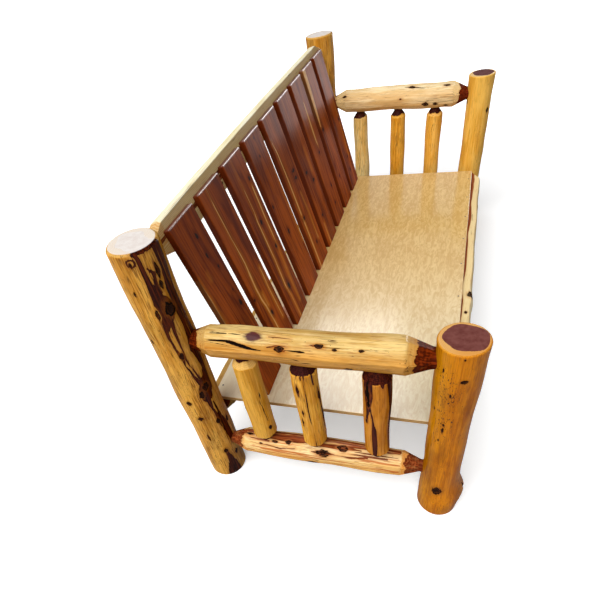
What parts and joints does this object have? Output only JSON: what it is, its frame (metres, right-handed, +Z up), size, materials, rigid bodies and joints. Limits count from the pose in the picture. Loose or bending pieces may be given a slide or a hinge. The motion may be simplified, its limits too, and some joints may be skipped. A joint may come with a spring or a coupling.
{
  "type": "log sofa",
  "caption": "Rustic sofa of peeled cedar logs joined by hewn round tenons, with a plywood seat deck and a leaning back of cedar boards between two post-and-spindle arms.",
  "frame": {"origin": "on the floor, at the middle of the sofa's length and depth", "axes": "+X along the sofa, +Y towards its back, +Z up"},
  "size_m": [1.9426, 0.8775, 0.905],
  "materials": {
    "post_wood": "varnished amber cedar sapwood",
    "rail_wood": "varnished pale cedar sapwood",
    "spindle_wood": "varnished amber cedar sapwood",
    "board_wood": "glossy red cedar heartwood",
    "cleat_wood": "plain pink cedar",
    "plywood": "varnished pale plywood"
  },
  "bodies": {
    "root": {"front_post_left": "post_wood", "front_post_right": "post_wood", "back_post_left": "post_wood", "back_post_right": "post_wood", "arm_rail_left": "rail_wood", "arm_rail_right": "rail_wood", "lower_end_rail_left": "rail_wood", "lower_end_rail_right": "rail_wood", "spindle_left_1": "spindle_wood", "spindle_left_2": "spindle_wood", "spindle_left_3": "spindle_wood", "spindle_right_1": "spindle_wood", "spindle_right_2": "spindle_wood", "spindle_right_3": "spindle_wood", "top_back_rail": "rail_wood", "lower_back_rail": "rail_wood", "front_seat_rail": "rail_wood", "seat_bearer_left": "rail_wood", "seat_bearer_right": "rail_wood", "back_slat_1": "board_wood", "back_slat_2": "board_wood", "back_slat_3": "board_wood", "back_slat_4": "board_wood", "back_slat_5": "board_wood", "back_slat_6": "board_wood", "back_slat_7": "board_wood", "back_slat_8": "board_wood", "back_slat_9": "board_wood", "slat_cleat": "cleat_wood", "seat_panel": "plywood"}
  },
  "joints": []
}
